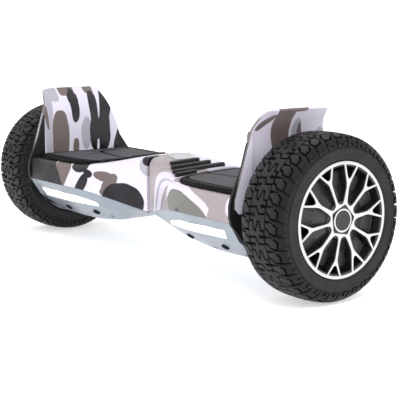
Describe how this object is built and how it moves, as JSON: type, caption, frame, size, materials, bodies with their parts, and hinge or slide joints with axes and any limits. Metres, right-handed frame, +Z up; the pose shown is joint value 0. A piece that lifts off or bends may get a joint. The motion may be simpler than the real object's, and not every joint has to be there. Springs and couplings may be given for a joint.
{
  "type": "self balancing hoverboard",
  "caption": "Twin-half self balancing board with twist pivot, hub-motor off-road wheels, winged fenders, rubber foot mats and front light strips.",
  "frame": {"origin": "on the floor under the middle of the board", "axes": "+X along the axles to the right half, +Y from front (light strips) to rear, +Z up"},
  "size_m": [0.724, 0.216, 0.2439],
  "materials": {
    "camo_paint": "gloss paint over moulded plastic, winter camouflage",
    "silver_shell": "satin silver moulded plastic",
    "black_plastic": "fine moulded texture",
    "grip_rubber": "matt moulded rubber",
    "light_lens": "lit milky diffuser",
    "circuit_board": "solder mask",
    "cast_aluminium": "die cast",
    "screw_steel": "zinc plated",
    "axle_steel": "ground steel",
    "stator_core": "varnished laminations and copper wire",
    "cable_jacket": "smooth jacket",
    "tyre": "moulded tyre rubber",
    "motor_aluminium": "black painted casting",
    "magnet": "nickel plated",
    "bearing_steel": "polished",
    "hub_black": "satin moulded plastic",
    "trim_silver": "bright machined face",
    "battery_wrap": "shrink wrap",
    "bush_bronze": "sintered bronze",
    "status_panel": "smoked clear cover",
    "button_plastic": "satin button",
    "cap_rubber": "soft rubber flap"
  },
  "bodies": {
    "left_half": {"left_upper_shell": "camo_paint", "left_lower_shell": "silver_shell", "left_fender": "camo_paint", "left_wheel_liner": "black_plastic", "left_grip_ribs": "grip_rubber", "left_light_lens": "light_lens", "left_light_board": "circuit_board", "left_frame": "cast_aluminium", "left_axle_clamp": "cast_aluminium", "left_screws": "screw_steel", "left_gyro_board": "circuit_board", "left_axle": "axle_steel", "left_stator": "stator_core", "left_motor_cable": "cable_jacket", "battery_pack": "battery_wrap", "battery_straps": "screw_steel", "pivot_shaft": "axle_steel", "pivot_circlip": "screw_steel", "harness_cable": "cable_jacket"},
    "right_half": {"right_upper_shell": "camo_paint", "right_lower_shell": "silver_shell", "right_fender": "camo_paint", "right_wheel_liner": "black_plastic", "right_grip_ribs": "grip_rubber", "right_light_lens": "light_lens", "right_light_board": "circuit_board", "right_frame": "cast_aluminium", "right_axle_clamp": "cast_aluminium", "right_screws": "screw_steel", "right_gyro_board": "circuit_board", "right_axle": "axle_steel", "right_stator": "stator_core", "right_motor_cable": "cable_jacket", "main_board": "circuit_board", "pivot_bushes": "bush_bronze", "indicator_panel": "status_panel", "power_switch": "black_plastic", "charge_port": "black_plastic"},
    "left_wheel": {"left_tyre": "tyre", "left_motor_drum": "motor_aluminium", "left_magnet_ring": "magnet", "left_motor_cover": "motor_aluminium", "left_cover_screws": "screw_steel", "left_wheel_bearings": "bearing_steel", "left_hub_cap": "hub_black", "left_hub_trim": "trim_silver", "left_centre_cap": "hub_black"},
    "right_wheel": {"right_tyre": "tyre", "right_motor_drum": "motor_aluminium", "right_magnet_ring": "magnet", "right_motor_cover": "motor_aluminium", "right_cover_screws": "screw_steel", "right_wheel_bearings": "bearing_steel", "right_hub_cap": "hub_black", "right_hub_trim": "trim_silver", "right_centre_cap": "hub_black"},
    "left_mat": {"left_foot_mat": "grip_rubber"},
    "right_mat": {"right_foot_mat": "grip_rubber"},
    "power_button": {"power_button": "button_plastic"},
    "charge_port_cap": {"charge_port_cap": "cap_rubber"}
  },
  "joints": [
    {"name": "centre_twist", "type": "hinge", "parent": "left_half", "child": "right_half", "pos_m": [0, 0, 0.108], "axis": [1, 0, 0], "range_deg": [-12, 12]},
    {"name": "left_wheel_spin", "type": "hinge", "parent": "left_half", "child": "left_wheel", "pos_m": [-0.322, 0, 0.108], "axis": [1, 0, 0], "continuous": true},
    {"name": "right_wheel_spin", "type": "hinge", "parent": "right_half", "child": "right_wheel", "pos_m": [0.322, 0, 0.108], "axis": [1, 0, 0], "continuous": true},
    {"name": "left_mat_press", "type": "slide", "parent": "left_half", "child": "left_mat", "axis": [0, 0, -1], "range_m": [0, 0.0015], "stiffness_N_per_m": 12000, "springref_m": -0.001},
    {"name": "right_mat_press", "type": "slide", "parent": "right_half", "child": "right_mat", "axis": [0, 0, -1], "range_m": [0, 0.0015], "stiffness_N_per_m": 12000, "springref_m": -0.001},
    {"name": "power_button_press", "type": "slide", "parent": "right_half", "child": "power_button", "axis": [0, -0.8423, 0.5391], "range_m": [0, 0.001], "stiffness_N_per_m": 1500, "springref_m": -0.0008},
    {"name": "charge_port_cap_hinge", "type": "hinge", "parent": "right_half", "child": "charge_port_cap", "pos_m": [0.208, 0.09847, 0.09513], "axis": [1, 0, 0], "range_deg": [0, 110]}
  ]
}
